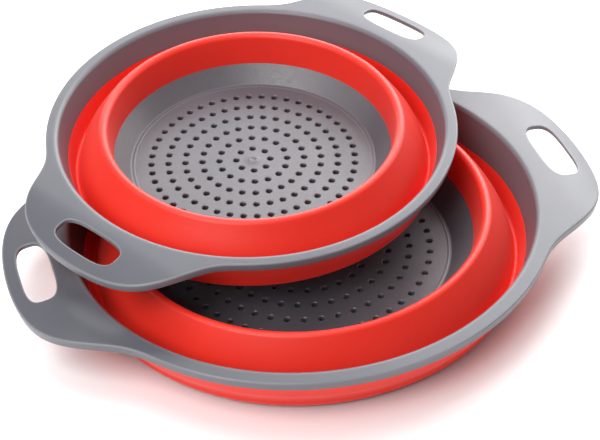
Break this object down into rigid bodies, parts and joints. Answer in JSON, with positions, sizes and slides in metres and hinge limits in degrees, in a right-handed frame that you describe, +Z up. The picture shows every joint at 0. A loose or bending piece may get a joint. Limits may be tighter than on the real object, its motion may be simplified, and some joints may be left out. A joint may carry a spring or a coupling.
{
  "type": "collapsible colander set",
  "caption": "Nesting set of collapsible colanders with slotted side handles, folding silicone walls and perforated bottoms, folded flat.",
  "frame": {"origin": "under the middle of the whole set's outline, on the surface that it stands on", "axes": "+Z up along the large colander's axis, +X along the large colander's handles"},
  "size_m": [0.2892, 0.2598, 0.0633],
  "materials": {
    "rim_plastic": "satin moulded polypropylene",
    "base_plastic": "finely grained polypropylene",
    "silicone": "satin silicone rubber"
  },
  "bodies": {
    "large_bottom": {"large_base_dish": "base_plastic", "large_strainer_plate": "base_plastic", "large_lower_band": "silicone", "large_fold_band": "silicone"},
    "large_top": {"large_rim": "rim_plastic", "large_upper_band": "silicone"},
    "small_bottom": {"small_base_dish": "base_plastic", "small_strainer_plate": "base_plastic", "small_lower_band": "silicone", "small_fold_band": "silicone"},
    "small_top": {"small_rim": "rim_plastic", "small_upper_band": "silicone"}
  },
  "joints": [
    {"name": "large_unfold", "type": "slide", "parent": "large_bottom", "child": "large_top", "axis": [0, 0, 1], "range_m": [0, 0.0546], "deforming": ["large_fold_band"]},
    {"name": "small_lift_off", "type": "slide", "parent": "large_top", "child": "small_bottom", "axis": [0, 0, 1], "range_m": [0, 0.12]},
    {"name": "small_unfold", "type": "slide", "parent": "small_bottom", "child": "small_top", "axis": [0.0167, -0.0564, 0.9983], "range_m": [0, 0.0486], "deforming": ["small_fold_band"]}
  ]
}
